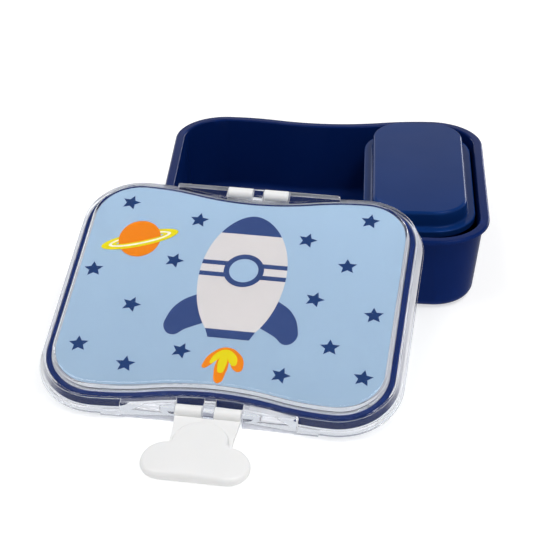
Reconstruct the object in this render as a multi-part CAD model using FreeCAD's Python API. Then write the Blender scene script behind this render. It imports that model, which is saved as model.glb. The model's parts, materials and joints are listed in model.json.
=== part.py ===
import FreeCAD, Part
import math
import os
from collections import namedtuple
from FreeCAD import Placement, Rotation, Vector

os.makedirs("parts", exist_ok=True)

# A lunch kit: a box base that stands on the table, a small lidded snack cup inside it, and the
# box's clear lid lying tilted in front, its back edge across the base's front rim. Millimetres.
# The origin is the centre of the base's underside, +X along the box's length, +Z up.

# ---- driving dimensions -----------------------------------------------------------------------
# Plan outline that lid and base share: a long rectangle, each long side waisted in the middle
HALF_LENGTH = 92.0
HALF_WIDTH = 76.0
WAIST_DEPTH = 6.3
CORNER_RADIUS = 32.0

# Radii of the small moulded edges, and how deep a part is sunk into what it is fused to
FINE_EDGE = 0.3
SOFT_EDGE = 0.4
ROUND_EDGE = 0.8
ROOT_DEPTH = 0.5

# Base: insets are measured inwards from the plan outline, heights from the table
BASE_HEIGHT = 45.5
BASE_WALL = 2.0
FLOOR_THICK = 2.4
RIM_OUTER_INSET = 2.5
RIM_INNER_INSET = 7.6
RIM_THICK = 2.2
WALL_FOOT_INSET = 10.1
BASE_BOTTOM_FILLET = 6.0
FOOT_GROOVE_INSETS = (18.5, 22.5)
FOOT_GROOVE_DEPTH = 0.8
FLOOR_INSET = 26.0
KEEPER_HALF_LENGTH = 18.0
KEEPER_DROP = 2.2
KEEPER_THICK = 1.8

# Snack cup and its lid: insets are measured inwards from the cup lid's flange
CUP_CENTRE = Vector(51.8, 5.0, 0)
CUP_HALF_LENGTH = 30.6
CUP_HALF_WIDTH = 60.9
CUP_CORNER_RADIUS = 24.0
CUP_STANDOFF = 0.1
CUP_WALL = 1.6
CUP_WALL_TOP_INSET = 5.2
CUP_WALL_FOOT_INSET = 9.5
CUP_BOTTOM_FILLET = 5.0
CUP_FLOOR_INSET = 18.0
CUP_RIM_TOP = 40.2
CUP_RIM_THICK = 2.0
CUP_FLANGE_TOP = 41.8
CUP_SKIRT_BOTTOM = 38.3
CUP_LID_TOP = 50.6
CUP_LID_WALL = 1.4
CUP_LID_STEP = 4.6
CUP_LID_DRAFT = 0.4
CUP_FIT_GAP = 0.3
CUP_PLUG_GAP = 0.6

# Clear lid: heights are measured up from the underside of its top plate
LID_TOP_THICK = 2.0
LID_WALL = 1.4
FLANGE_TOP = -2.2
FLANGE_THICK = 2.0
SHOULDER_INSET = 2.8
SHOULDER_TOP = -3.5
SHOULDER_FOOT = -8.8
SKIRT_OUTER_INSET = 0.8
SKIRT_BOTTOM = -11.8
SKIRT_LIP = 0.8
SKIRT_LIP_HEIGHT = 1.5
PLATEAU_INSET = 8.0
PLATEAU_INNER_INSET = 9.5
SEAL_RIB_INSET = 8.2
SEAL_RIB_BOTTOM = -9.3
LID_PLATE_INSET = 26.0
RIM_LEVEL_IN_LID = -8.8

# Printed film under the top plate, and the seal in the groove behind the skirt
PANEL_INSET = 9.65
PANEL_THICK = 0.4
PANEL_GAP = 0.3
SEAL_TOP_INSETS = (4.9, 7.4)
SEAL_FOOT_INSETS = (2.7, 7.9)
SEAL_LIP_HEIGHT = 1.6
SEAL_GAP = 0.1

# Latch hinge: the rod is part of the lid and the barrel turns on it
HINGE_OUT = 3.9
HINGE_LEVEL = -6.0
ROD_RADIUS = 1.6
ROD_FIT_GAP = 0.05
BARREL_RADIUS = 3.4
BARREL_HALF_LENGTH = 16.2
KNUCKLE_HALF_LENGTH = 2.8
KNUCKLE_RADIUS = 3.2
HINGE_SIDE_GAP = 0.4
ROD_SUNK = 1.0
WING_REACH = 3.2
WING_END = 44.0
WING_LIP_END = 54.0

# Latch, hanging closed: a plate that narrows, then opens out into a cloud-shaped pull
PLATE_THICK = 2.4
PLATE_LENGTH = 44.5
NECK_HALF_WIDTH = 15.2
NECK_AT = 16.0
NECK_CORNER_RADIUS = 4.0
NECK_SUNK = 4.0
PULL_HALF_WIDTH = 26.5
PULL_HEIGHT = 22.0
DOME_HALF_WIDTH = 13.6
DOME_TOP = 7.3
DOME_CREASE_RADIUS = 1.5
END_FLAT = 0.2
CROWN_RISE = 4.2
CROWN_RADIUS = 110.0
CROWN_LEVEL = -27.0
PILLOW_FILLET = 2.6
HOOK_TOP = 7.35
HOOK_THICK = 1.8
HOOK_REACH = 8.4
HOOK_HALF_LENGTH = 12.0
HOOK_GUSSET = 2.4

# Where the lid lies, and how far its front latch is open
LID_CENTRE = Vector(-43.4, -119.5, 39.1)
LID_YAW = -6.6
LID_TILT = 18.5
FRONT_LATCH_OPEN = 98.8

# ---- derived ----------------------------------------------------------------------------------
X, Y, Z = Vector(1, 0, 0), Vector(0, 1, 0), Vector(0, 0, 1)
ORIGIN = Vector(0, 0, 0)
BULGE_X = HALF_LENGTH - CORNER_RADIUS
WAIST_FACE = HALF_WIDTH - WAIST_DEPTH
WAVE_RADIUS = ((BULGE_X / 2) ** 2 + (WAIST_DEPTH / 2) ** 2) / WAIST_DEPTH
WAVE_ANGLE = math.degrees(math.asin(BULGE_X / 2 / WAVE_RADIUS))
HINGE_Y = WAIST_FACE + HINGE_OUT
HINGE_ROOT = WAIST_FACE - SHOULDER_INSET - LID_WALL
FLANGE_UNDERSIDE = FLANGE_TOP - FLANGE_THICK
LID_PLACE = Placement(LID_CENTRE, Rotation(Z, LID_YAW).multiply(Rotation(X, LID_TILT)))

# A stretch of an outline: it starts at a point, inwards is its inward direction there, and it
# either turns about a centre by an angle or runs straight by a travel.
Stretch = namedtuple("Stretch", "start inward centre angle travel")


def arc(start, inward, centre, angle):
    return Stretch(start, inward, centre, angle, None)


def straight(start, inward, travel):
    return Stretch(start, inward, None, None, travel)


def box_outline():
    """First quadrant of the plan outline: waist arc, bulge arc, corner arc, half a short side."""
    bulge = Vector(BULGE_X, HALF_WIDTH, 0)
    side = Vector(HALF_LENGTH, HALF_WIDTH - CORNER_RADIUS, 0)
    return [
        arc(Vector(0, WAIST_FACE, 0), -Y, Vector(0, WAIST_FACE + WAVE_RADIUS, 0), WAVE_ANGLE),
        arc(bulge, -Y, bulge - Y * WAVE_RADIUS, WAVE_ANGLE),
        arc(bulge, -Y, bulge - Y * CORNER_RADIUS, -90),
        straight(side, -X, Y * -side.y),
    ]


def cup_outline():
    """First quadrant of the cup's rounded rectangle."""
    back = Vector(0, CUP_HALF_WIDTH, 0)
    corner = Vector(CUP_HALF_LENGTH - CUP_CORNER_RADIUS, CUP_HALF_WIDTH, 0)
    side = Vector(CUP_HALF_LENGTH, CUP_HALF_WIDTH - CUP_CORNER_RADIUS, 0)
    return [
        straight(back, -Y, X * corner.x),
        arc(corner, -Y, corner - Y * CUP_CORNER_RADIUS, -90),
        straight(side, -X, Y * -side.y),
    ]


# ---- shape helpers ----------------------------------------------------------------------------
def rounded_wire(corners, place):
    """Closed wire through (u, v) corners; a third number rounds that corner to its radius."""
    starts, ends, arcs = [], [], []
    count = len(corners)
    for index, corner in enumerate(corners):
        here = Vector(corner[0], corner[1], 0)
        radius = corner[2] if len(corner) > 2 else 0
        if not radius:
            starts.append(here)
            ends.append(here)
            arcs.append(None)
            continue
        back = Vector(*corners[index - 1][:2], 0) - here
        ahead = Vector(*corners[(index + 1) % count][:2], 0) - here
        back.normalize()
        ahead.normalize()
        half = back.getAngle(ahead) / 2
        bisector = back + ahead
        bisector.normalize()
        middle = here + bisector * (radius / math.sin(half) - radius)
        starts.append(here + back * (radius / math.tan(half)))
        ends.append(here + ahead * (radius / math.tan(half)))
        arcs.append(middle)
    edges = []
    for index in range(count):
        if arcs[index]:
            points = (starts[index], arcs[index], ends[index])
            edges.append(Part.Arc(*[place(p) for p in points]).toShape())
        after = starts[(index + 1) % count]
        if (after - ends[index]).Length > 1e-6:
            edges.append(Part.makeLine(place(ends[index]), place(after)))
    return Part.Wire(edges)


def section(corners, origin, inward):
    """Upright face whose corners are (distance inwards, height)."""
    return Part.Face(rounded_wire(corners, lambda p: origin + inward * p.x + Z * p.y))


def joined(solids):
    whole = solids[0].fuse(solids[1:]) if len(solids) > 1 else solids[0]
    return whole.removeSplitter()


def four_ways(shapes):
    """The shapes and their mirror images in the two upright middle planes."""
    both = shapes + [shape.mirror(ORIGIN, X) for shape in shapes]
    return both + [shape.mirror(ORIGIN, Y) for shape in both]


def carried_round(outline, corners):
    """Ring with this (inset, height) section all the way round an outline."""
    pieces = []
    for stretch in outline:
        face = section(corners, stretch.start, stretch.inward)
        if stretch.centre:
            pieces.append(face.revolve(stretch.centre, Z, stretch.angle))
        else:
            pieces.append(face.extrude(stretch.travel))
    return joined(four_ways(pieces))


def slab(outline, inset, low, high):
    """Plate with the outline's shape, inset from it, between two heights."""
    edges = []
    for stretch in outline:
        start = stretch.start + stretch.inward * inset
        if stretch.centre:
            points = [start]
            for share in (0.5, 1.0):
                turn = Rotation(Z, stretch.angle * share)
                points.append(stretch.centre + turn.multVec(start - stretch.centre))
            edges.append(Part.Arc(*points).toShape())
        else:
            edges.append(Part.makeLine(start, start + stretch.travel))
    wire = Part.Wire(Part.__sortEdges__(four_ways(edges)))
    face = Part.Face(wire)
    face.translate(Z * low)
    return face.extrude(Z * (high - low))


def across_waist(corners, half_length):
    """Bar with this (inset, height) section along the middle of the back waist."""
    centre = Vector(0, WAIST_FACE + WAVE_RADIUS, 0)
    reach = math.degrees(math.asin(half_length / WAVE_RADIUS))
    face = section(corners, Vector(0, WAIST_FACE, 0), -Y)
    face.rotate(centre, Z, -reach)
    return face.revolve(centre, Z, 2 * reach)


def both_sides(shape):
    return [shape, shape.mirror(ORIGIN, Y)]


def along_x(radius, low, high, centre):
    return Part.makeCylinder(radius, high - low, centre + X * low, X)


# ---- the base ---------------------------------------------------------------------------------
def base_box():
    """Drafted tray with a rounded foot, a flat turned-out rim and a keeper under it per latch."""
    outline = box_outline()
    rim_under = BASE_HEIGHT - RIM_THICK
    groove_outer, groove_inner = FOOT_GROOVE_INSETS
    wall_top_inset = RIM_INNER_INSET - BASE_WALL
    inner_foot_inset = WALL_FOOT_INSET + BASE_WALL
    wall = carried_round(outline, [
        (FLOOR_INSET, 0),
        (groove_inner, 0, SOFT_EDGE),
        (groove_inner, FOOT_GROOVE_DEPTH, FINE_EDGE),
        (groove_outer, FOOT_GROOVE_DEPTH, FINE_EDGE),
        (groove_outer, 0, SOFT_EDGE),
        (WALL_FOOT_INSET, 0, BASE_BOTTOM_FILLET),
        (wall_top_inset, rim_under, ROUND_EDGE),
        (RIM_OUTER_INSET, rim_under, SOFT_EDGE),
        (RIM_OUTER_INSET, BASE_HEIGHT, 1.2),
        (RIM_INNER_INSET, BASE_HEIGHT, 1.0),
        (inner_foot_inset, FLOOR_THICK, BASE_BOTTOM_FILLET - 1),
        (FLOOR_INSET, FLOOR_THICK),
    ])
    keeper = across_waist([
        (RIM_OUTER_INSET, rim_under + ROOT_DEPTH),
        (RIM_OUTER_INSET, rim_under - KEEPER_DROP, SOFT_EDGE),
        (RIM_OUTER_INSET + KEEPER_THICK, rim_under - KEEPER_DROP, SOFT_EDGE),
        (RIM_OUTER_INSET + KEEPER_THICK, rim_under + ROOT_DEPTH),
    ], KEEPER_HALF_LENGTH)
    floor = slab(outline, FLOOR_INSET, 0, FLOOR_THICK)
    return joined([wall, floor] + both_sides(keeper))


# ---- the snack cup ----------------------------------------------------------------------------
def snack_cup():
    """Drafted cup with a narrow turned-out rim, standing on the base's floor."""
    bottom = FLOOR_THICK + CUP_STANDOFF
    floor_top = bottom + CUP_WALL
    rim_inset = CUP_LID_WALL + CUP_FIT_GAP
    rim_under = CUP_RIM_TOP - CUP_RIM_THICK
    wall = carried_round(cup_outline(), [
        (CUP_FLOOR_INSET, bottom),
        (CUP_WALL_FOOT_INSET, bottom, CUP_BOTTOM_FILLET),
        (CUP_WALL_TOP_INSET, rim_under, SOFT_EDGE),
        (rim_inset, rim_under, SOFT_EDGE),
        (rim_inset, CUP_RIM_TOP, ROUND_EDGE),
        (CUP_WALL_TOP_INSET + CUP_WALL, CUP_RIM_TOP, ROUND_EDGE),
        (CUP_WALL_FOOT_INSET + CUP_WALL, floor_top, CUP_BOTTOM_FILLET - 1),
        (CUP_FLOOR_INSET, floor_top),
    ])
    cup = joined([wall, slab(cup_outline(), CUP_FLOOR_INSET, bottom, floor_top)])
    cup.translate(CUP_CENTRE)
    return cup


def snack_cup_lid():
    """Raised lid: a skirt over the cup's rim, a plug inside it, and a tall rounded plateau."""
    underside = CUP_RIM_TOP + CUP_STANDOFF
    top_underside = CUP_LID_TOP - CUP_LID_WALL
    plug_outer = CUP_WALL_TOP_INSET + CUP_WALL + CUP_PLUG_GAP
    plug_inner = plug_outer + CUP_LID_WALL
    inner_wall = CUP_LID_STEP + CUP_LID_WALL
    wall = carried_round(cup_outline(), [
        (0, CUP_SKIRT_BOTTOM, FINE_EDGE),
        (0, CUP_FLANGE_TOP, ROUND_EDGE),
        (CUP_LID_STEP, CUP_FLANGE_TOP, 1.2),
        (CUP_LID_STEP + CUP_LID_DRAFT, CUP_LID_TOP, 1.6),
        (CUP_FLOOR_INSET, CUP_LID_TOP),
        (CUP_FLOOR_INSET, top_underside),
        (inner_wall + CUP_LID_DRAFT, top_underside, ROUND_EDGE),
        (inner_wall, CUP_FLANGE_TOP),
        (plug_inner, CUP_FLANGE_TOP),
        (plug_inner, CUP_SKIRT_BOTTOM, SOFT_EDGE),
        (plug_outer, CUP_SKIRT_BOTTOM, SOFT_EDGE),
        (plug_outer, underside),
        (CUP_LID_WALL, underside),
        (CUP_LID_WALL, CUP_SKIRT_BOTTOM, FINE_EDGE),
    ])
    lid = joined([wall, slab(cup_outline(), CUP_FLOOR_INSET, top_underside, CUP_LID_TOP)])
    lid.translate(CUP_CENTRE)
    return lid


# ---- the clear lid ----------------------------------------------------------------------------
def wall_middle(height):
    """Inset of the middle of the lid's shoulder-and-skirt wall at a height."""
    share = (SHOULDER_TOP - height) / (SHOULDER_TOP - SHOULDER_FOOT)
    outer = SHOULDER_INSET + min(1, max(0, share)) * (SKIRT_OUTER_INSET - SHOULDER_INSET)
    return outer + LID_WALL / 2


def behind_wall():
    """Everything inwards of the wall's middle, to trim what is rooted in the wall."""
    top = FLANGE_TOP - FINE_EDGE
    below = SKIRT_BOTTOM - 1
    past_root = HALF_WIDTH - HINGE_ROOT + 1
    return carried_round(box_outline(), [
        (wall_middle(top), top),
        (past_root, top),
        (past_root, below),
        (wall_middle(below), below),
        (wall_middle(SHOULDER_FOOT), SHOULDER_FOOT),
        (wall_middle(SHOULDER_TOP), SHOULDER_TOP),
    ])


def hinge_bar(low_x, high_x, bottom, top, bottom_radius, top_radius):
    """Bar along X from inside the back wall out to the hinge's face, its outer edges rounded."""
    face = HINGE_Y + WING_REACH
    return Part.Face(rounded_wire([
        (HINGE_ROOT, bottom),
        (face, bottom, bottom_radius),
        (face, top, top_radius),
        (HINGE_ROOT, top),
    ], lambda p: Vector(low_x, p.x, p.y))).extrude(X * (high_x - low_x))


def hinge_wing():
    """Moulded block beside the back latch that fills the waist and carries the rod's end."""
    start = BARREL_HALF_LENGTH + HINGE_SIDE_GAP
    top = HINGE_LEVEL + KNUCKLE_RADIUS
    block = hinge_bar(start, WING_END, SKIRT_BOTTOM, top, 1.2, 3.0)
    end_edges = [edge for edge in block.Edges
                 if edge.BoundBox.XMin > WING_END - 0.01 and edge.BoundBox.YMin > WAIST_FACE]
    block = block.makeFillet(1.0, end_edges)
    lip_top = SKIRT_BOTTOM + SKIRT_LIP_HEIGHT
    lip = hinge_bar(WING_END - 2, WING_LIP_END, SKIRT_BOTTOM, lip_top, SOFT_EDGE, SOFT_EDGE)
    return joined([block, lip])


def hinge_knuckle():
    """Lug between the two halves of a latch barrel, holding the middle of the rod."""
    axis = Vector(0, HINGE_Y, HINGE_LEVEL)
    eye = along_x(KNUCKLE_RADIUS, -KNUCKLE_HALF_LENGTH, KNUCKLE_HALF_LENGTH, axis)
    arm = Part.makeBox(2 * KNUCKLE_HALF_LENGTH, HINGE_Y - HINGE_ROOT, 1.5 * KNUCKLE_RADIUS,
                       Vector(-KNUCKLE_HALF_LENGTH, HINGE_ROOT, HINGE_LEVEL - 0.5 * KNUCKLE_RADIUS))
    return joined([eye, arm])


def lid_shell():
    """Clear moulding: plate on a raised wall, sloping shoulder, skirt, seal rib, two hinges."""
    outline = box_outline()
    shoulder_inner = SHOULDER_INSET + LID_WALL
    skirt_inner = SKIRT_OUTER_INSET + LID_WALL
    lip_top = SKIRT_BOTTOM + SKIRT_LIP_HEIGHT
    shell = carried_round(outline, [
        (skirt_inner, SKIRT_BOTTOM, FINE_EDGE),
        (SKIRT_OUTER_INSET - SKIRT_LIP, SKIRT_BOTTOM, SOFT_EDGE),
        (SKIRT_OUTER_INSET - SKIRT_LIP, lip_top, SOFT_EDGE),
        (SKIRT_OUTER_INSET, lip_top, FINE_EDGE),
        (SKIRT_OUTER_INSET, SHOULDER_FOOT, ROUND_EDGE),
        (SHOULDER_INSET, SHOULDER_TOP, ROUND_EDGE),
        (SHOULDER_INSET, FLANGE_TOP, ROUND_EDGE),
        (PLATEAU_INSET, FLANGE_TOP, 1.0),
        (PLATEAU_INSET, LID_TOP_THICK, 1.5),
        (LID_PLATE_INSET, LID_TOP_THICK),
        (LID_PLATE_INSET, 0),
        (PLATEAU_INNER_INSET, 0),
        (PLATEAU_INNER_INSET, SEAL_RIB_BOTTOM, SOFT_EDGE),
        (SEAL_RIB_INSET, SEAL_RIB_BOTTOM, SOFT_EDGE),
        (SEAL_RIB_INSET, FLANGE_UNDERSIDE, SOFT_EDGE),
        (shoulder_inner, FLANGE_UNDERSIDE, SOFT_EDGE),
        (skirt_inner, SHOULDER_FOOT, SOFT_EDGE),
    ])
    plate = slab(outline, LID_PLATE_INSET, 0, LID_TOP_THICK)
    wing = hinge_wing()
    rod_end = BARREL_HALF_LENGTH + HINGE_SIDE_GAP + ROD_SUNK
    rod = along_x(ROD_RADIUS, -rod_end, rod_end, Vector(0, HINGE_Y, HINGE_LEVEL))
    hinge = joined([wing, wing.mirror(ORIGIN, X), hinge_knuckle(), rod]).cut(behind_wall())
    return joined([shell, plate] + both_sides(hinge))


def printed_panel():
    """Thin printed film just under the clear top plate."""
    return slab(box_outline(), PANEL_INSET, -PANEL_GAP - PANEL_THICK, -PANEL_GAP)


def lid_seal():
    """Soft ring in the groove behind the shoulder; its foot presses on the base's rim."""
    top = FLANGE_UNDERSIDE - SEAL_GAP
    waist = RIM_LEVEL_IN_LID + SEAL_LIP_HEIGHT
    top_outer, top_inner = SEAL_TOP_INSETS
    foot_outer, foot_inner = SEAL_FOOT_INSETS
    return carried_round(box_outline(), [
        (top_outer, top, SOFT_EDGE),
        (top_inner, top, SOFT_EDGE),
        (top_inner, waist, SOFT_EDGE),
        (foot_inner, RIM_LEVEL_IN_LID, FINE_EDGE),
        (foot_outer, RIM_LEVEL_IN_LID, FINE_EDGE),
    ])


# ---- the latches ------------------------------------------------------------------------------
def pull_outline():
    """Cloud outline of the pull: a long rounded bar with a dome on top of its middle."""
    bar_top = PULL_HEIGHT - PLATE_LENGTH
    end_radius = PULL_HEIGHT / 2 - END_FLAT
    right = [
        (PULL_HALF_WIDTH, -PLATE_LENGTH, end_radius),
        (PULL_HALF_WIDTH, bar_top, end_radius),
        (DOME_HALF_WIDTH, bar_top, DOME_CREASE_RADIUS),
        (DOME_HALF_WIDTH, -DOME_TOP, DOME_HALF_WIDTH - END_FLAT),
    ]
    left = [(-x, z, radius) for x, z, radius in reversed(right)]
    return right + left


def upright_plate(corners, inner, outer):
    """Plate with this (x, z) outline between two distances out from the hinge axis."""
    face = Part.Face(rounded_wire(corners, lambda p: Vector(p.x, inner, p.y)))
    return face.extrude(Y * (outer - inner))


def latch_pull():
    """Cloud-shaped pull: crowned outwards like a pillow, softly rounded all round its edge."""
    plate = upright_plate(pull_outline(), -PLATE_THICK, CROWN_RISE)
    crown = Part.makeSphere(CROWN_RADIUS, Vector(0, CROWN_RISE - CROWN_RADIUS, CROWN_LEVEL))
    pull = plate.common(crown)
    face = next(face for face in pull.Faces if isinstance(face.Surface, Part.Sphere))
    pull = pull.makeFillet(PILLOW_FILLET, face.Edges)
    under = [edge for edge in pull.Edges if edge.BoundBox.YMax < FINE_EDGE - PLATE_THICK]
    return pull.makeFillet(PLATE_THICK / 3, under)


def latch_neck():
    """Flat plate from the barrel down into the pull, narrowing on the way."""
    sides = [
        (BARREL_HALF_LENGTH, 0),
        (BARREL_HALF_LENGTH, -BARREL_RADIUS, NECK_CORNER_RADIUS),
        (NECK_HALF_WIDTH, -NECK_AT, NECK_CORNER_RADIUS),
        (NECK_HALF_WIDTH, PULL_HEIGHT - PLATE_LENGTH - NECK_SUNK),
    ]
    other = [(-corner[0], *corner[1:]) for corner in reversed(sides)]
    return upright_plate(sides + other, -PLATE_THICK, 0)


def latch_hook():
    """Bar across the plate's inner face that snaps under the base's keeper."""
    root = -PLATE_THICK / 2
    shoulder = -PLATE_THICK - ROUND_EDGE
    bottom = -HOOK_TOP - HOOK_THICK
    return Part.Face(rounded_wire([
        (root, -HOOK_TOP + SOFT_EDGE),
        (shoulder, -HOOK_TOP, SOFT_EDGE),
        (-HOOK_REACH, -HOOK_TOP, SOFT_EDGE),
        (-HOOK_REACH, bottom, SOFT_EDGE),
        (shoulder, bottom, ROUND_EDGE),
        (root, bottom - HOOK_GUSSET),
    ], lambda p: Vector(-HOOK_HALF_LENGTH, p.x, p.y))).extrude(X * 2 * HOOK_HALF_LENGTH)


def latch():
    """Closed latch about its hinge axis: it hangs down, +Y points away from the box."""
    barrel = along_x(BARREL_RADIUS, -BARREL_HALF_LENGTH, BARREL_HALF_LENGTH, ORIGIN)
    body = joined([barrel, latch_neck(), latch_pull(), latch_hook()])
    notch = KNUCKLE_HALF_LENGTH + HINGE_SIDE_GAP
    clearance = KNUCKLE_RADIUS + HINGE_SIDE_GAP
    cuts = [along_x(ROD_RADIUS + ROD_FIT_GAP, -BARREL_HALF_LENGTH, BARREL_HALF_LENGTH, ORIGIN),
            along_x(clearance, -notch, notch, ORIGIN),
            Part.makeBox(2 * notch, 2 * BARREL_RADIUS, BARREL_RADIUS + clearance,
                         Vector(-notch, -BARREL_RADIUS, -clearance))]
    return body.cut(cuts).removeSplitter()


def on_hinge(side, opening):
    """Latch placed in the lid's frame; side is -1 at the front and +1 at the back."""
    shape = latch()
    shape.rotate(ORIGIN, X, opening)
    if side < 0:
        shape.rotate(ORIGIN, Z, 180)
    shape.translate(Vector(0, side * HINGE_Y, HINGE_LEVEL))
    return shape


def laid_down(shape):
    """Moved from the lid's own frame to where the lid lies."""
    moved = shape.copy()
    moved.Placement = LID_PLACE.multiply(moved.Placement)
    return moved


PARTS = {
    "base_box": base_box(),
    "snack_cup": snack_cup(),
    "snack_cup_lid": snack_cup_lid(),
    "lid_shell": laid_down(lid_shell()),
    "printed_panel": laid_down(printed_panel()),
    "lid_seal": laid_down(lid_seal()),
    "front_latch": laid_down(on_hinge(-1, FRONT_LATCH_OPEN)),
    "rear_latch": laid_down(on_hinge(1, 0)),
}

for name, shape in PARTS.items():
    box = shape.BoundBox
    print(f"{name}: {len(shape.Solids)} solid, valid {shape.isValid()}, {shape.Volume / 1000:.2f} cm3,"
          f" x {box.XMin:.1f}..{box.XMax:.1f} y {box.YMin:.1f}..{box.YMax:.1f}"
          f" z {box.ZMin:.2f}..{box.ZMax:.1f}")
    shape.exportStep(f"parts/{name}.step")
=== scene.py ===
import json
import math

import bmesh
import bpy
from mathutils import Matrix, Vector


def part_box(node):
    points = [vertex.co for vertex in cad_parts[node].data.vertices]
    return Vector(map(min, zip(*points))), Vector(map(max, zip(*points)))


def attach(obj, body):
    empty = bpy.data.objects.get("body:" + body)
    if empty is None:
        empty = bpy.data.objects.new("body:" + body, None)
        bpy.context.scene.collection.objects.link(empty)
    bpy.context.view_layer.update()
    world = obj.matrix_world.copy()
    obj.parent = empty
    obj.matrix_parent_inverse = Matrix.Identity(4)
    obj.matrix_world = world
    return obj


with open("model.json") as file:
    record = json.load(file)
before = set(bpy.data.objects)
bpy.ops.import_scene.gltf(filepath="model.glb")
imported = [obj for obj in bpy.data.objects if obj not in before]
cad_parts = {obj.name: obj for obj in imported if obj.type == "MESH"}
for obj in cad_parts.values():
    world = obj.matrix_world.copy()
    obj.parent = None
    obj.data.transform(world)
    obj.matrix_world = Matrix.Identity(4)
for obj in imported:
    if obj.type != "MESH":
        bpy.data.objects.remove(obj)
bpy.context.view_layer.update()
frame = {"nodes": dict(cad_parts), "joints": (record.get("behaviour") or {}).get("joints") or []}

# A lunch box on a pale studio floor: the navy base with its snack cup stands behind, and the clear
# lid with its printed picture and two white latches lies in front, propped on the base's rim.
# Metres, except the picture, which is laid out in millimetres on the lid's own plate.

MM = 0.001
NODES = frame["nodes"]

# ---- camera and studio, angles in degrees -----------------------------------------------------
CAMERA_TARGET = Vector((-0.03027, -0.06069, 0.020))
CAMERA_DISTANCE = 0.9735
CAMERA_AZIMUTH = 3.21
CAMERA_ELEVATION = 30.19
CAMERA_ROLL = 0.08
CAMERA_LENS = 121.3
CAMERA_SENSOR = 36.0

FLOOR_SIZE = 12.0
FLOOR_COLOUR = (0.55, 0.55, 0.55)
FLOOR_GLOW = 0.60
SKY_LOW = 0.42  # towards the studio's walls
SKY_HIGH = 0.14  # towards its ceiling
SKY_CHANGE = (0.50, 0.80)  # height on the unit sphere where the walls end and the ceiling starts
SOFTBOX_TARGET = Vector((0, -0.05, 0))
SOFTBOXES = {  # place, (width, height), watts
    "key_softbox": ((-0.75, -0.25, 1.6), (1.0, 1.0), 12.2),
    "fill_softbox": ((0.9, -0.3, 1.5), (1.0, 1.0), 7.4),
    "strip_softbox": ((0.60, -0.40, 1.5), (0.9, 0.35), 6.8),
    "back_softbox": ((0.1, 2.3, 1.0), (3.0, 0.5), 4.0),
    "right_rim_softbox": ((1.3, 1.8, 0.4), (1.0, 0.5), 14.0),
    "left_rim_softbox": ((-1.3, 1.8, 0.4), (1.0, 0.5), 5.0),
}

# ---- colours, linear --------------------------------------------------------------------------
NAVY = (0.0024, 0.0145, 0.094)
CUP_LID_NAVY = (0.0036, 0.0262, 0.130)
SEAL_NAVY = (0.004, 0.020, 0.115)
LATCH_WHITE = (0.87, 0.87, 0.87)
PRINT_BLUE = (0.356, 0.486, 0.604)
PRINT_NAVY = (0.030, 0.060, 0.177)
PRINT_STAR_NAVY = (0.006, 0.033, 0.128)
PRINT_GREY = (0.663, 0.616, 0.575)
PRINT_ORANGE = (0.816, 0.214, 0.001)
PRINT_YELLOW = (0.749, 0.621, 0.001)
PRINT_CREAM = (0.907, 0.835, 0.661)
CLEAR_TINTS = ((0.862, 0.874, 0.912, 1.0), (0.877, 0.888, 0.922, 1.0))
LAMPLIGHT_TINT = (0.93, 0.94, 0.95, 1.0)  # what clear plastic lets through of a lamp's light
WHITE = (1.0, 1.0, 1.0, 1.0)

# ---- surfaces: scales in features per metre, depths in metres ---------------------------------
CLOUD_RANGE = (0.3, 0.7)  # noise values that soft patches spread between

NAVY_GLOSS = 0.06  # Principled's Specular IOR Level
LATCH_GLOSS = 0.5
PLASTIC_CLOUDS = 22.0
GRAIN_DEPTH = 0.000012
FLOW_SCALE = 32.0
FLOW_DEPTH = 0.00003
SCUFFS = {"scale": 60.0, "detail": 6.0, "stretch": (1.0, 2.5, 1.0), "turn": (0.3, 0.2, 0.9)}
SCUFF_RANGE = (0.42, 0.72)  # noise values where a scuff starts and where it is full
SCUFF_ROUGHNESS = 0.05  # added where it is full
WEAR_AND_HIGHLIGHT_POINTINESS = (0.508, 0.545)  # where an edge starts to be rubbed and lit by painted highlight, and where it is fully so
WEAR_AND_HIGHLIGHT_TONE = 3.0  # how much lighter a rubbed edge is, from wear and from painted highlight together
WEAR_AND_HIGHLIGHT_PATCHES = 120.0
WEAR_AND_HIGHLIGHT_PATCH_RANGE = (0.35, 0.65)
WEAR_AND_HIGHLIGHT_LEAST = 0.3  # share of the rub and painted highlight left between its patches

CLEAR_GLOSS = 0.5
CLEAR_IOR = 1.42
CLEAR_CLOUDS = 30.0
CLEAR_ROUGHNESS = (0.03, 0.06)  # off the scratches and on them
SCRATCHES = {"scale": 150.0, "detail": 8.0, "stretch": (1.0, 14.0, 1.0), "turn": (0.2, 0.1, 0.7)}
SCRATCH_RANGE = (0.55, 0.75)
WAVE_SCALE = 40.0
WAVE_DEPTH = 0.00004
HAZE = 0.85  # how white clear walls look edge on
HAZE_ANGLES = (0.34, 0.82)  # Layer Weight's facing value, 0 head on and 1 edge on
WALL_TILT = (0.45, 0.90)  # cosine to the plate's normal: a wall below the first, the plate above
TRAPPED_HAZE = 0.55  # how white clear plastic looks where light is trapped inside it
TRAPPED_ANGLES = (0.30, 0.42)

INK_GLOSS = 0.08
INK_MOTTLE = 350.0
INK_SCREEN = 2500.0  # the print's dots, as patches in its roughness
INK_ROUGHNESS = (0.38, 0.50)
INK_TOOTH = 3500.0
INK_TOOTH_DEPTH = 0.000004
FILM_PAINTED_SHADE = (0.91, 1.03)  # painted shade: tone at the film's lowest and at its highest point

# ---- the picture on the lid, millimetres from the plate's centre ------------------------------
INK_THICK = 0.05
INK_SUNK = 0.01  # how far the lowest layer reaches into the film
CURVE_STEPS = 10
WELD_DISTANCE = 1e-5

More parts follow.
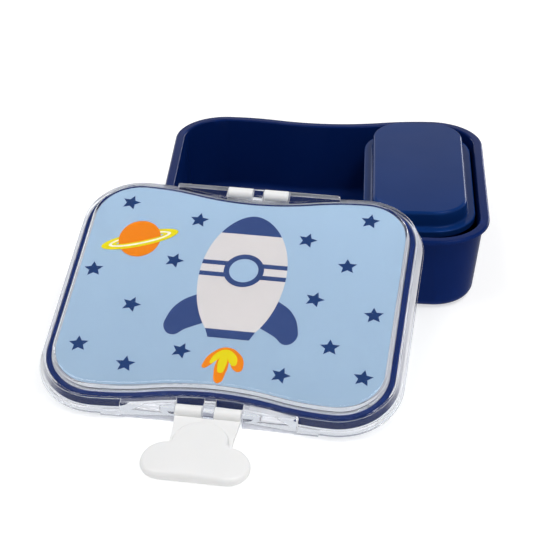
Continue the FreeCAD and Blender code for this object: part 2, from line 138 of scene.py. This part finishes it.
STAR_POINTS = 5
STAR_RADIUS = 5.2
STAR_INNER_RADIUS = 2.45
STARS = [  # x, y, turn in degrees
    (-65.5, 54.7, -12), (-26.8, 46.2, -3), (-75, 6.2, 8), (-34.5, 16.7, -15), (-50.5, -15.1, -15),
    (-71.3, -43.4, 8), (-45.3, -53.2, 0), (-19.5, -41.7, -16), (62.7, 55.4, -5), (32, 38.4, -12),
    (55, 22.8, 5), (41.5, -1.1, -15), (72.5, -8.1, 6), (53.5, -31, 4), (32, -51.2, -15),
    (72.2, -48, -5),
]

PLANET = (-55.6, 29.6)
PLANET_RADII = (11.0, 12.6)
RING = (-55.4, 29.3)
RING_TURN = 22.0
RING_BAND = ((20.6, 5.2), (12.6, 1.6))  # radii of its outer and of its inner edge
RING_LINE = ((16.6, 3.6), (15.0, 2.6))

ROCKET_X = 2.5
ROCKET_TOP = 52.0
ROCKET_WIDEST = 11.0  # the height where it is widest
ROCKET_HALF_WIDTH = 22.5
ROCKET_TAIL_DEPTH = 46.0  # from the widest height down to where its flanks would meet
ROCKET_POWER = 0.55  # 0.5 makes an ellipse, and more a slimmer nose
NOSE_LINE = 38.8
TAIL_LINE = -26.0
TAIL_END = -31.4
TAIL_HALF_WIDTH = 10.5
STRIPES = [(16.4, 19.3), (8.6, 11.5)]
WINDOW = (2.6, 13.8)
WINDOW_RADII = (10.4, 11.1)
WINDOW_GLASS_RADII = (7.5, 7.9)
FIN_TOP = -4.0
FIN_BOTTOM = -22.5
FIN_OVERLAP = 1.0  # how far a fin reaches under the hull
FLAME = (2.8, -41.5)
FLAME_STRETCH = 1.07
FLAME_CORE = 0.66  # size of the inner flame


# ---- the lid's own frame ----------------------------------------------------------------------
def joint(name):
    return next(j for j in frame["joints"] if j["name"] == name)


def lid_matrix():
    """From the lid's frame to the room: X along the hinges, Z out of the plate, from the film."""
    front = Vector(joint("front_latch_hinge")["pos_m"])
    rear = Vector(joint("rear_latch_hinge")["pos_m"])
    along = Vector(joint("rear_latch_hinge")["axis"]).normalized()
    across = (rear - front).normalized()
    out = along.cross(across)
    middle = (front + rear) / 2
    film_top = max((v.co - middle).dot(out) for v in NODES["printed_panel"].data.vertices)
    turn = Matrix((along, across, out)).transposed().to_4x4()
    return Matrix.Translation(middle + out * film_top) @ turn


LID = lid_matrix()


# ---- material helpers -------------------------------------------------------------------------
def new_material(name):
    material = bpy.data.materials.new(name)
    material.use_nodes = True
    return material, material.node_tree, material.node_tree.nodes["Principled BSDF"]


def feed(tree, node, inputs):
    """Gives a node's inputs a value each, or a socket to link."""
    for key, value in inputs.items():
        if isinstance(value, bpy.types.NodeSocket):
            tree.links.new(value, node.inputs[key])
        else:
            node.inputs[key].default_value = value


def add(tree, kind, inputs, **settings):
    """A new node with its settings and inputs."""
    made = tree.nodes.new(kind)
    for key, value in settings.items():
        setattr(made, key, value)
    feed(tree, made, inputs)
    return made


def calculated(tree, operation, *values):
    inputs = dict(enumerate(values))
    return add(tree, "ShaderNodeMath", inputs, operation=operation).outputs["Value"]


def noise(tree, scale, detail=3.0, stretch=(1, 1, 1), turn=(0, 0, 0)):
    """Noise over the piece's own coordinates."""
    where = tree.nodes.new("ShaderNodeTexCoord").outputs["Object"]
    placed = add(tree, "ShaderNodeMapping", {"Vector": where, "Scale": stretch, "Rotation": turn})
    inputs = {"Vector": placed.outputs["Vector"], "Scale": scale, "Detail": detail}
    return add(tree, "ShaderNodeTexNoise", inputs).outputs["Fac"]


def spread(tree, value, low, high, to_low, to_high):
    """The value's range from low to high, clamped, as another range."""
    inputs = {"Value": value, "From Min": low, "From Max": high, "To Min": to_low, "To Max": to_high}
    return add(tree, "ShaderNodeMapRange", inputs).outputs["Result"]


def clouds(tree, scale, low=0.0, high=1.0, detail=3.0):
    """Soft patches between two values."""
    return spread(tree, noise(tree, scale, detail), *CLOUD_RANGE, low, high)


def blended(tree, share, first, second):
    inputs = {"Factor": share, "A": first, "B": second}
    return add(tree, "ShaderNodeMix", inputs, data_type="RGBA").outputs["Result"]


def bumped(tree, height, depth, normal=None):
    inputs = {"Height": height, "Distance": depth, "Strength": 1.0}
    if normal:
        inputs["Normal"] = normal
    return add(tree, "ShaderNodeBump", inputs).outputs["Normal"]


def shade(colour, factor):
    return tuple(min(1.0, c * factor) for c in colour) + (1.0,)


def mottled(tree, colour, change, scale, detail=3.0):
    """The colour in soft patches, darker and lighter by up to change."""
    patches = clouds(tree, scale, detail=detail)
    return blended(tree, patches, shade(colour, 1 - change), shade(colour, 1 + change))


def worn_and_highlit_edges(tree, share):
    """Mask of convex edges, lightened as wear and as painted highlight, broken up by noise, at most
    share.
    """
    pointed = tree.nodes.new("ShaderNodeNewGeometry").outputs["Pointiness"]
    edge = spread(tree, pointed, *WEAR_AND_HIGHLIGHT_POINTINESS, 0.0, share)
    patches = spread(tree, noise(tree, WEAR_AND_HIGHLIGHT_PATCHES), *WEAR_AND_HIGHLIGHT_PATCH_RANGE, WEAR_AND_HIGHLIGHT_LEAST, 1.0)
    return calculated(tree, "MULTIPLY", edge, patches)


# ---- materials --------------------------------------------------------------------------------
def moulded(name, colour, roughness, gloss, cloud=0.06, grain=900.0, wear_and_highlight=0.6):
    """Opaque moulded plastic: cloudy colour, fine grain, flow waviness, scuffs, edges with wear and
    painted highlight.
    """
    material, tree, principled = new_material(name)
    tone = mottled(tree, colour, cloud, PLASTIC_CLOUDS)
    scuffs = noise(tree, **SCUFFS)
    flow = bumped(tree, noise(tree, FLOW_SCALE, detail=1.0), FLOW_DEPTH)
    feed(tree, principled, {
        # Base Color: convex edges lighter from wear and from painted highlight
        "Base Color": blended(tree, worn_and_highlit_edges(tree, wear_and_highlight), tone, shade(colour, WEAR_AND_HIGHLIGHT_TONE)),
        "Roughness": spread(tree, scuffs, *SCUFF_RANGE, roughness, roughness + SCUFF_ROUGHNESS),
        "Normal": bumped(tree, noise(tree, grain, detail=2.0), GRAIN_DEPTH, flow),
        "Specular IOR Level": gloss,
    })
    return material


def base_plastic():
    return moulded("navy_polypropylene", NAVY, 0.17, NAVY_GLOSS)


def cup_lid_plastic():
    return moulded("navy_polyethylene", CUP_LID_NAVY, 0.14, NAVY_GLOSS, grain=1400.0)


def seal_silicone():
    return moulded("navy_silicone", SEAL_NAVY, 0.42, NAVY_GLOSS, cloud=0.04, grain=2200.0, wear_and_highlight=0.1)


def latch_plastic():
    """White plastic that light enters a little way, with no rubbed edges and no painted edge
    highlight.
    """
    material = moulded("white_latch_plastic", LATCH_WHITE, 0.34, LATCH_GLOSS, cloud=0.012, wear_and_highlight=0.0)
    tree = material.node_tree
    feed(tree, tree.nodes["Principled BSDF"], {
        "Subsurface Weight": 0.15,
        "Subsurface Radius": (1.0, 0.9, 0.8),
        "Subsurface Scale": 0.002,
    })
    return material


def clear_haze(tree):
    """How white clear plastic looks: its walls edge on, and its inside where light is trapped."""
    facing = add(tree, "ShaderNodeLayerWeight", {"Blend": 0.5}).outputs["Facing"]
    geometry = tree.nodes.new("ShaderNodeNewGeometry")
    normals = {0: geometry.outputs["Normal"], 1: LID.col[2].to_3d()}
    along = add(tree, "ShaderNodeVectorMath", normals, operation="DOT_PRODUCT").outputs["Value"]
    wall = spread(tree, calculated(tree, "ABSOLUTE", along), *WALL_TILT, 1.0, 0.0)
    edge_on = spread(tree, facing, *HAZE_ANGLES, 0.0, HAZE)
    beyond = spread(tree, facing, *TRAPPED_ANGLES, 0.0, TRAPPED_HAZE)
    outside = calculated(tree, "MULTIPLY", edge_on, wall)
    inside = calculated(tree, "MULTIPLY", beyond, geometry.outputs["Backfacing"])
    return calculated(tree, "MAXIMUM", outside, inside)


def clear_plastic():
    """Clear copolyester: smooth, faintly wavy and scratched, and lamps shine through it."""
    material, tree, principled = new_material("clear_copolyester")
    feed(tree, principled, {
        "Base Color": blended(tree, clouds(tree, CLEAR_CLOUDS), *CLEAR_TINTS),
        "Transmission Weight": spread(tree, clear_haze(tree), 0.0, 1.0, 1.0, 0.0),
        "Roughness": spread(tree, noise(tree, **SCRATCHES), *SCRATCH_RANGE, *CLEAR_ROUGHNESS),
        "Normal": bumped(tree, noise(tree, WAVE_SCALE, detail=1.0), WAVE_DEPTH),
        "Specular IOR Level": CLEAR_GLOSS,
        "IOR": CLEAR_IOR,
    })
    lamp_ray = tree.nodes.new("ShaderNodeLightPath").outputs["Is Shadow Ray"]
    passed = add(tree, "ShaderNodeBsdfTransparent", {"Color": LAMPLIGHT_TINT}).outputs["BSDF"]
    shaders = {"Fac": lamp_ray, 1: principled.outputs["BSDF"], 2: passed}
    mixed = add(tree, "ShaderNodeMixShader", shaders).outputs["Shader"]
    feed(tree, tree.nodes["Material Output"], {"Surface": mixed})
    return material


def print_ink(name, colour):
    """Printed ink: even colour with a faint mottle and a fine screen of dots in its gloss."""
    material, tree, principled = new_material(name)
    feed(tree, principled, {
        "Base Color": mottled(tree, colour, 0.015, INK_MOTTLE, detail=4.0),
        "Roughness": clouds(tree, INK_SCREEN, *INK_ROUGHNESS, detail=1.0),
        "Normal": bumped(tree, noise(tree, INK_TOOTH), INK_TOOTH_DEPTH),
        "Specular IOR Level": INK_GLOSS,
    })
    return material


def film():
    """The picture's light blue ground, with painted shade: darker towards the lid's front, a little
    lighter towards its back.
    """
    material = print_ink("film_light_blue", PRINT_BLUE)
    tree = material.node_tree
    principled = tree.nodes["Principled BSDF"]
    even = principled.inputs["Base Color"].links[0].from_socket
    low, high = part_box("printed_panel")
    where = tree.nodes.new("ShaderNodeTexCoord").outputs["Object"]
    height = add(tree, "ShaderNodeSeparateXYZ", {"Vector": where}).outputs["Z"]
    # painted shade: the blue darker low on the film, at the lid's front, and a little lighter high
    # up
    depth = spread(tree, height, low[2], high[2], *FILM_PAINTED_SHADE)
    shaded_film = add(tree, "ShaderNodeVectorMath", {0: even, "Scale": depth}, operation="SCALE")
    feed(tree, principled, {"Base Color": shaded_film.outputs["Vector"]})
    return material


def floor_material():
    material, tree, principled = new_material("studio_floor")
    feed(tree, principled, {
        "Base Color": mottled(tree, FLOOR_COLOUR, 0.005, scale=3.0),
        "Emission Color": WHITE,
        "Emission Strength": FLOOR_GLOW,
        "Roughness": 0.9,
        "Specular IOR Level": 0.1,
    })
    return material


def finish_nodes():
    """Gives each CAD node its finished material."""
    base = base_plastic()
    latch = latch_plastic()
    finishes = {
        "base_box": base,
        "snack_cup": base,
        "snack_cup_lid": cup_lid_plastic(),
        "lid_shell": clear_plastic(),
        "printed_panel": film(),
        "lid_seal": seal_silicone(),
        "front_latch": latch,
        "rear_latch": latch,
    }
    for name, material in finishes.items():
        for slot in NODES[name].material_slots:
            slot.material = material


# ---- the picture ------------------------------------------------------------------------------
def filled(name, outlines):
    """Flat mesh in closed outlines; a point is (x, y), smooth, or (x, y, True), a corner."""
    curve = bpy.data.curves.new(name, "CURVE")
    curve.dimensions = "2D"
    curve.fill_mode = "BOTH"
    curve.resolution_u = CURVE_STEPS
    curve.extrude = INK_THICK / 2
    for outline in outlines:
        spline = curve.splines.new("BEZIER")
        spline.bezier_points.add(len(outline) - 1)
        spline.use_cyclic_u = True
        for point, corner in zip(spline.bezier_points, outline):
            point.co = (corner[0], corner[1], 0)
            kind = "VECTOR" if len(corner) > 2 else "AUTO"
            point.handle_left_type = kind
            point.handle_right_type = kind
    drawn = bpy.data.objects.new(name + "_outline", curve)
    bpy.context.scene.collection.objects.link(drawn)
    bpy.context.view_layer.update()
    mesh = bpy.data.meshes.new_from_object(drawn)
    bpy.data.objects.remove(drawn)
    welded = bmesh.new()
    welded.from_mesh(mesh)
    bmesh.ops.remove_doubles(welded, verts=welded.verts, dist=WELD_DISTANCE)
    bmesh.ops.recalc_face_normals(welded, faces=welded.faces)
    welded.to_mesh(mesh)
    welded.free()
    return mesh


def ink(name, material, layer, outlines):
    """Thin printed piece on the film, layer 0, or on the layers below it."""
    mesh = filled(name, outlines)
    lift = INK_THICK / 2 + layer * INK_THICK - INK_SUNK
    mesh.transform(LID @ Matrix.Scale(MM, 4) @ Matrix.Translation((0, 0, lift)))
    mesh.materials.clear()
    mesh.materials.append(material)
    piece = bpy.data.objects.new(name, mesh)
    bpy.context.scene.collection.objects.link(piece)
    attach(piece, "lid")


def corners(points):
    return [(x, y, True) for x, y in points]


def ellipse(centre, radii, turn=0.0, start=0.0, end=360.0, steps=16):
    """Points along an ellipse, or along the part of it between two angles in degrees."""
    whole = end - start == 360.0
    count = steps if whole else steps + 1
    turned = math.radians(turn)
    points = []
    for index in range(count):
        angle = math.radians(start + (end - start) * index / steps)
        x, y = radii[0] * math.cos(angle), radii[1] * math.sin(angle)
        points.append((centre[0] + x * math.cos(turned) - y * math.sin(turned),
                       centre[1] + x * math.sin(turned) + y * math.cos(turned)))
    return points


def half_ring(outer, inner, start):
    """Half of the planet's ring, between two ellipses, from the start angle on."""
    out = ellipse(RING, outer, RING_TURN, start, start + 180.0, steps=48)
    back = ellipse(RING, inner, RING_TURN, start, start + 180.0, steps=48)
    return corners(out + back[::-1])


def star(x, y, turn):
    points = []
    for index in range(2 * STAR_POINTS):
        radius = STAR_INNER_RADIUS if index % 2 else STAR_RADIUS
        angle = math.radians(90 + turn + 180 / STAR_POINTS * index)
        points.append((x + radius * math.cos(angle), y + radius * math.sin(angle)))
    return corners(points)


def hull_half_width(y):
    depth = ROCKET_TOP - ROCKET_WIDEST if y > ROCKET_WIDEST else ROCKET_TAIL_DEPTH
    share = min(1.0, abs(y - ROCKET_WIDEST) / depth)
    return ROCKET_HALF_WIDTH * (1 - share ** 2) ** ROCKET_POWER


def hull(low, high, steps=40):
    """Outline of the rocket's hull between two heights, its points closer towards the top."""
    heights = [low + (high - low) * math.sin(math.pi / 2 * n / steps) for n in range(steps + 1)]
    right = [(ROCKET_X + hull_half_width(y), y) for y in heights]
    left = [(2 * ROCKET_X - x, y) for x, y in reversed(right)]
    if high >= ROCKET_TOP:
        left = left[1:]  # both flanks share the tip
    return corners(right + left)


def tail():
    """Short stub below the hull that narrows downwards."""
    half_width = hull_half_width(TAIL_LINE)
    return corners([
        (ROCKET_X - half_width, TAIL_LINE),
        (ROCKET_X + half_width, TAIL_LINE),
        (ROCKET_X + TAIL_HALF_WIDTH, TAIL_END),
        (ROCKET_X - TAIL_HALF_WIDTH, TAIL_END),
    ])


def fin(side):
    """Rounded fin that springs from the hull's flank and droops outwards."""
    points = [
        (hull_half_width(FIN_TOP) - FIN_OVERLAP, FIN_TOP, True),
        (28.3, -10.2),
        (33.3, -20.5),
        (33.2, -28.8),
        (28.6, -32.0),
        (22.6, -27.6),
        (hull_half_width(FIN_BOTTOM) - FIN_OVERLAP, FIN_BOTTOM, True),
    ]
    return [(ROCKET_X + side * p[0], *p[1:]) for p in points]


def flame(size):
    """Three rounded tongues under the tail, drawn about the flame's root."""
    shape = [
        (0.0, 4.2), (6.6, 1.6), (10.2, -5.0), (8.6, -9.4), (5.2, -8.0), (2.8, -3.4, True),
        (2.4, -10.0), (-0.8, -16.6), (-3.8, -10.0), (-3.4, -3.4, True),
        (-6.4, -7.0), (-9.6, -8.8), (-9.8, -5.4), (-5.8, 1.2),
    ]
    x, y = FLAME
    return [(x + p[0] * size, y + p[1] * size * FLAME_STRETCH, *p[2:]) for p in shape]


def picture():
    """The stars, the ringed planet and the rocket, back to front in each."""
    navy = print_ink("ink_navy", PRINT_NAVY)
    grey = print_ink("ink_warm_grey", PRINT_GREY)
    orange = print_ink("ink_orange", PRINT_ORANGE)
    yellow = print_ink("ink_yellow", PRINT_YELLOW)
    cream = print_ink("ink_cream", PRINT_CREAM)
    blue = print_ink("ink_window_blue", PRINT_BLUE)
    star_navy = print_ink("ink_star_navy", PRINT_STAR_NAVY)

    ink("print_stars", star_navy, 0, [star(*place) for place in STARS])

    ink("print_planet_band_back", yellow, 0, [half_ring(*RING_BAND, 0.0)])
    ink("print_planet_line_back", cream, 1, [half_ring(*RING_LINE, 0.0)])
    ink("print_planet", orange, 2, [ellipse(PLANET, PLANET_RADII)])
    ink("print_planet_band_front", yellow, 3, [half_ring(*RING_BAND, 180.0)])
    ink("print_planet_line_front", cream, 4, [half_ring(*RING_LINE, 180.0)])

    ink("print_rocket_fins", navy, 0, [fin(-1), fin(1)])
    ink("print_rocket_hull", grey, 1, [hull(TAIL_LINE, NOSE_LINE)])
    ink("print_rocket_nose", navy, 1, [hull(NOSE_LINE, ROCKET_TOP)])
    ink("print_rocket_tail", navy, 1, [tail()])
    ink("print_rocket_stripes", navy, 2, [hull(*stripe, steps=6) for stripe in STRIPES])
    ink("print_rocket_window_ring", navy, 3, [ellipse(WINDOW, WINDOW_RADII)])
    ink("print_rocket_window", blue, 4, [ellipse(WINDOW, WINDOW_GLASS_RADII)])

    ink("print_flame", orange, 0, [flame(1.0)])
    ink("print_flame_core", yellow, 1, [flame(FLAME_CORE)])


# ---- studio -----------------------------------------------------------------------------------
def floor():
    """Pale floor that glows a little, and that glossy surfaces don't mirror."""
    mesh = bpy.data.meshes.new("studio_floor")
    half = FLOOR_SIZE / 2
    outline = [(-half, -half, 0), (half, -half, 0), (half, half, 0), (-half, half, 0)]
    mesh.from_pydata(outline, [], [(0, 1, 2, 3)])
    mesh.materials.append(floor_material())
    plane = bpy.data.objects.new("studio_floor", mesh)
    bpy.context.scene.collection.objects.link(plane)
    plane.visible_glossy = False


def softbox(name, place, size, power):
    light = bpy.data.lights.new(name, "AREA")
    light.shape = "RECTANGLE"
    light.size, light.size_y = size
    light.energy = power
    lamp = bpy.data.objects.new(name, light)
    lamp.location = place
    lamp.rotation_euler = (SOFTBOX_TARGET - Vector(place)).to_track_quat("-Z", "Y").to_euler()
    lamp.visible_camera = False
    bpy.context.scene.collection.objects.link(lamp)


def studio():
    """A sky that is paler towards the walls than overhead, and the softboxes."""
    world = bpy.data.worlds.new("studio_sky")
    bpy.context.scene.world = world
    world.use_nodes = True
    tree = world.node_tree
    towards = tree.nodes.new("ShaderNodeTexCoord").outputs["Generated"]
    height = add(tree, "ShaderNodeSeparateXYZ", {"Vector": towards}).outputs["Z"]
    light = spread(tree, height, *SKY_CHANGE, SKY_LOW, SKY_HIGH)
    feed(tree, tree.nodes["Background"], {"Color": WHITE, "Strength": light})
    for name, (place, size, power) in SOFTBOXES.items():
        softbox(name, place, size, power)
    bpy.context.scene.view_settings.view_transform = "Standard"


def camera():
    data = bpy.data.cameras.new("camera")
    data.lens = CAMERA_LENS
    data.sensor_width = CAMERA_SENSOR
    seen = bpy.data.objects.new("camera", data)
    azimuth, elevation = math.radians(CAMERA_AZIMUTH), math.radians(CAMERA_ELEVATION)
    back = Vector((math.sin(azimuth) * math.cos(elevation),
                   -math.cos(azimuth) * math.cos(elevation),
                   math.sin(elevation)))
    seen.location = CAMERA_TARGET + back * CAMERA_DISTANCE
    aim = (-back).to_track_quat("-Z", "Y").to_matrix()
    seen.rotation_euler = (aim @ Matrix.Rotation(math.radians(CAMERA_ROLL), 3, "Z")).to_euler()
    bpy.context.scene.collection.objects.link(seen)
    bpy.context.scene.camera = seen


camera()
finish_nodes()
picture()
floor()
studio()
